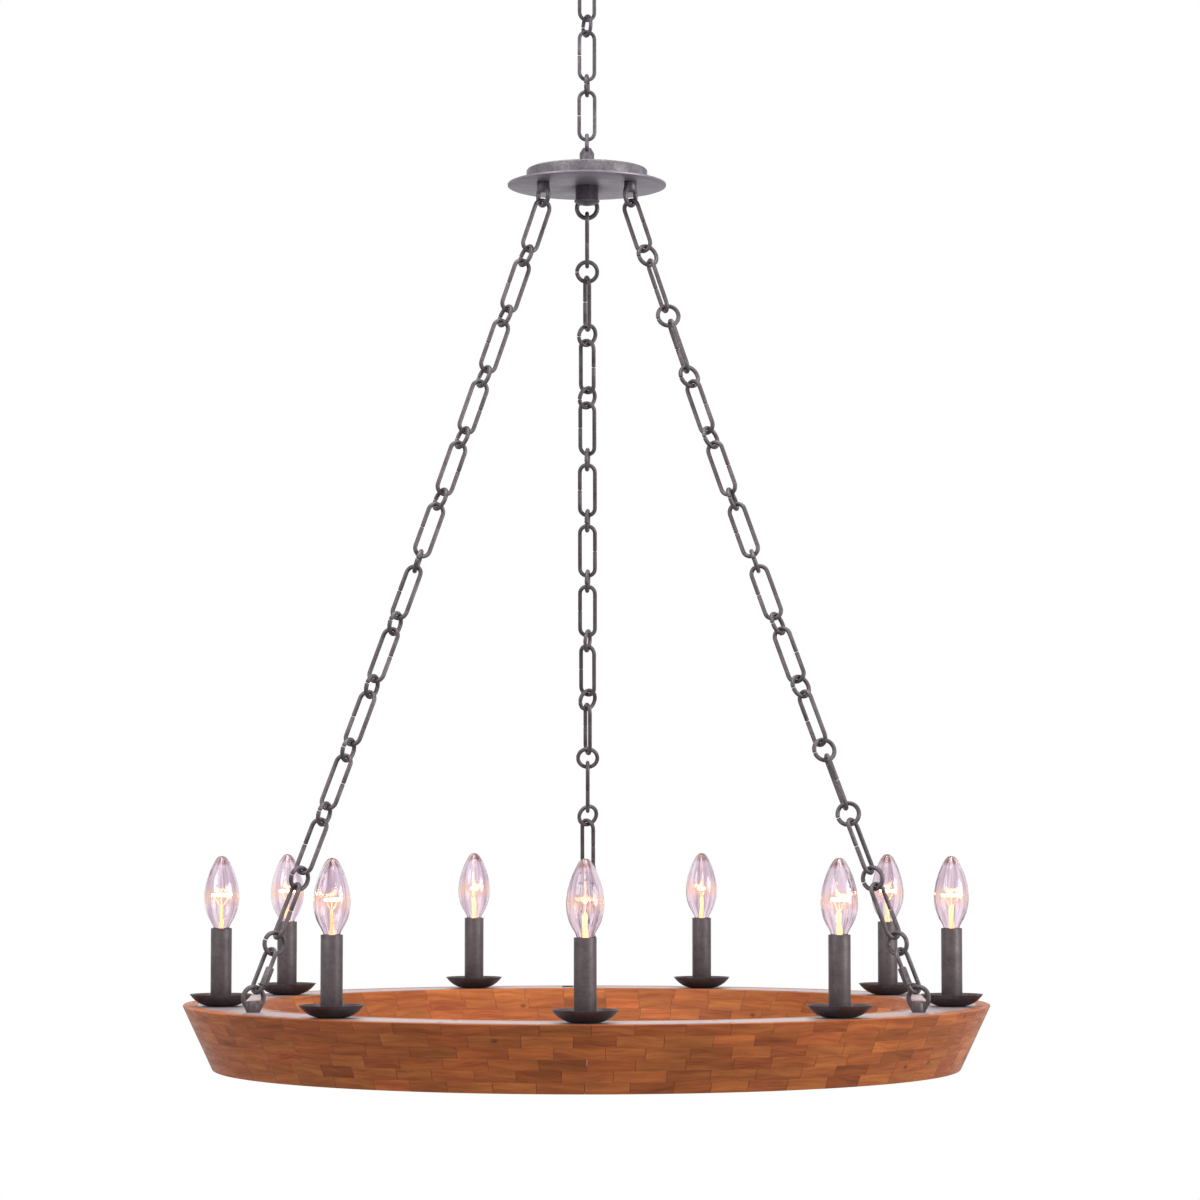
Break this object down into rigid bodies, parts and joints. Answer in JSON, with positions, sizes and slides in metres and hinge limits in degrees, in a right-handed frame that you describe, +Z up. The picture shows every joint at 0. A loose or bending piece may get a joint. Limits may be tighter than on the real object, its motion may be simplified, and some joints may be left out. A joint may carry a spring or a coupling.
{
  "type": "ring chandelier",
  "caption": "Tapered wooden ring with candle lamps on its top face, hung by chains from a round hub and a ceiling canopy.",
  "frame": {"origin": "centre of the crossbar's upper face, in the ceiling plane, between its two slots", "axes": "+Z up; +X along the crossbar; the three chains lead to 90, 210 and 330 degrees and one candle stands at -Y"},
  "size_m": [0.8639, 0.864, 1.2469],
  "materials": {
    "pewter_metal": "brushed dark pewter",
    "bronze_metal": "satin dark bronze",
    "band_metal": "satin blue-grey",
    "zinc_steel": "zinc plated",
    "ground_green": "green dyed",
    "oak": "oiled, glued blocks",
    "black_plastic": "moulded",
    "bulb_glass": "clear glass"
  },
  "bodies": {
    "ceiling_mount": {"crossbar": "zinc_steel", "crossbar_locknut": "zinc_steel", "ground_screw": "ground_green", "canopy_stem": "zinc_steel", "ceiling_canopy": "pewter_metal", "canopy_loop": "pewter_metal"},
    "upper_link": {"top_link_upper": "pewter_metal"},
    "upper_ring": {"top_ring_upper": "pewter_metal"},
    "middle_link": {"top_link_middle": "pewter_metal"},
    "lower_ring": {"top_ring_lower": "pewter_metal"},
    "lower_link": {"top_link_lower": "pewter_metal"},
    "hub": {"hub_loop": "pewter_metal", "hub_drum": "pewter_metal", "hub_disc": "pewter_metal", "hub_stem": "zinc_steel", "hub_finial": "pewter_metal", "hub_stem_nuts": "zinc_steel", "hub_eyebolts": "pewter_metal", "hub_eyebolt_nuts": "zinc_steel", "hub_bushing": "black_plastic"},
    "wheel": {"ring_course_1": "oak", "ring_course_2": "oak", "ring_course_3": "oak", "ring_course_4": "oak", "ring_course_5": "oak", "ring_course_6": "oak", "carrier_band": "band_metal", "band_screws": "bronze_metal", "ring_eyebolts": "bronze_metal", "ring_eyebolt_nuts": "zinc_steel", "ring_bushing": "black_plastic", "wiring_loom": "black_plastic", "candle_saucers": "bronze_metal", "candle_sleeves": "bronze_metal", "candle_sockets": "black_plastic", "candle_nipples": "zinc_steel", "candle_nuts": "zinc_steel"},
    "left_chain": {"left_chain_links": "bronze_metal", "left_chain_rings": "bronze_metal", "left_quick_link": "bronze_metal"},
    "left_chain_nut": {"left_quick_link_nut": "bronze_metal"},
    "right_chain": {"right_chain_links": "bronze_metal", "right_chain_rings": "bronze_metal", "right_quick_link": "bronze_metal"},
    "right_chain_nut": {"right_quick_link_nut": "bronze_metal"},
    "rear_chain": {"rear_chain_links": "bronze_metal", "rear_chain_rings": "bronze_metal", "rear_quick_link": "bronze_metal"},
    "rear_chain_nut": {"rear_quick_link_nut": "bronze_metal"},
    "bulb_1": {"bulb_1": "bulb_glass"},
    "bulb_2": {"bulb_2": "bulb_glass"},
    "bulb_3": {"bulb_3": "bulb_glass"},
    "bulb_4": {"bulb_4": "bulb_glass"},
    "bulb_5": {"bulb_5": "bulb_glass"},
    "bulb_6": {"bulb_6": "bulb_glass"},
    "bulb_7": {"bulb_7": "bulb_glass"},
    "bulb_8": {"bulb_8": "bulb_glass"},
    "bulb_9": {"bulb_9": "bulb_glass"}
  },
  "joints": [
    {"name": "upper_link_swing", "type": "hinge", "parent": "ceiling_mount", "child": "upper_link", "pos_m": [0, 0, -0.05975], "axis": [0, 1, 0], "range_deg": [-15, 15]},
    {"name": "upper_ring_swing", "type": "hinge", "parent": "upper_link", "child": "upper_ring", "pos_m": [0, 0, -0.10855], "axis": [0.9511, 0.309, 0], "range_deg": [-15, 15]},
    {"name": "middle_link_swing", "type": "hinge", "parent": "upper_ring", "child": "middle_link", "pos_m": [0, 0, -0.12565], "axis": [0.3907, -0.9205, 0], "range_deg": [-15, 15]},
    {"name": "lower_ring_swing", "type": "hinge", "parent": "middle_link", "child": "lower_ring", "pos_m": [0, 0, -0.17465], "axis": [0.9659, 0.2588, 0], "range_deg": [-15, 15]},
    {"name": "lower_link_swing", "type": "hinge", "parent": "lower_ring", "child": "lower_link", "pos_m": [0, 0, -0.19175], "axis": [0.1045, 0.9945, 0], "range_deg": [-15, 15]},
    {"name": "hub_turn", "type": "hinge", "parent": "lower_link", "child": "hub", "pos_m": [0, 0, -0.24075], "axis": [0, 0, 1], "range_deg": [-20, 20]},
    {"name": "ring_twist", "type": "hinge", "parent": "hub", "child": "wheel", "pos_m": [0, 0, -1.17852], "axis": [0, 0, 1], "range_deg": [-8, 8]},
    {"name": "left_chain_swing", "type": "hinge", "parent": "hub", "child": "left_chain", "pos_m": [-0.0472, -0.02725, -0.2919], "axis": [0, 0, 1], "range_deg": [-9.6, 9.6]},
    {"name": "right_chain_swing", "type": "hinge", "parent": "hub", "child": "right_chain", "pos_m": [0.0472, -0.02725, -0.2919], "axis": [0, 0, 1], "range_deg": [-9.6, 9.6]},
    {"name": "rear_chain_swing", "type": "hinge", "parent": "hub", "child": "rear_chain", "pos_m": [0, 0.0545, -0.2919], "axis": [0, 0, 1], "range_deg": [-9.6, 9.6]},
    {"name": "left_nut_travel", "type": "slide", "parent": "left_chain", "child": "left_chain_nut", "axis": [0.3384, 0.1954, 0.9205], "range_m": [0, 0.01]},
    {"name": "right_nut_travel", "type": "slide", "parent": "right_chain", "child": "right_chain_nut", "axis": [-0.3384, 0.1954, 0.9205], "range_m": [0, 0.01]},
    {"name": "rear_nut_travel", "type": "slide", "parent": "rear_chain", "child": "rear_chain_nut", "axis": [0, -0.3908, 0.9205], "range_m": [0, 0.01]},
    {"name": "bulb_1_unscrew", "type": "slide", "parent": "wheel", "child": "bulb_1", "axis": [0, 0, 1], "range_m": [0, 0.018]},
    {"name": "bulb_2_unscrew", "type": "slide", "parent": "wheel", "child": "bulb_2", "axis": [0, 0, 1], "range_m": [0, 0.018]},
    {"name": "bulb_3_unscrew", "type": "slide", "parent": "wheel", "child": "bulb_3", "axis": [0, 0, 1], "range_m": [0, 0.018]},
    {"name": "bulb_4_unscrew", "type": "slide", "parent": "wheel", "child": "bulb_4", "axis": [0, 0, 1], "range_m": [0, 0.018]},
    {"name": "bulb_5_unscrew", "type": "slide", "parent": "wheel", "child": "bulb_5", "axis": [0, 0, 1], "range_m": [0, 0.018]},
    {"name": "bulb_6_unscrew", "type": "slide", "parent": "wheel", "child": "bulb_6", "axis": [0, 0, 1], "range_m": [0, 0.018]},
    {"name": "bulb_7_unscrew", "type": "slide", "parent": "wheel", "child": "bulb_7", "axis": [0, 0, 1], "range_m": [0, 0.018]},
    {"name": "bulb_8_unscrew", "type": "slide", "parent": "wheel", "child": "bulb_8", "axis": [0, 0, 1], "range_m": [0, 0.018]},
    {"name": "bulb_9_unscrew", "type": "slide", "parent": "wheel", "child": "bulb_9", "axis": [0, 0, 1], "range_m": [0, 0.018]}
  ],
  "couplings": [
    {"joint": "left_chain_swing", "follows": "ring_twist", "ratio": 1.1614},
    {"joint": "right_chain_swing", "follows": "ring_twist", "ratio": 1.1614},
    {"joint": "rear_chain_swing", "follows": "ring_twist", "ratio": 1.1614}
  ]
}
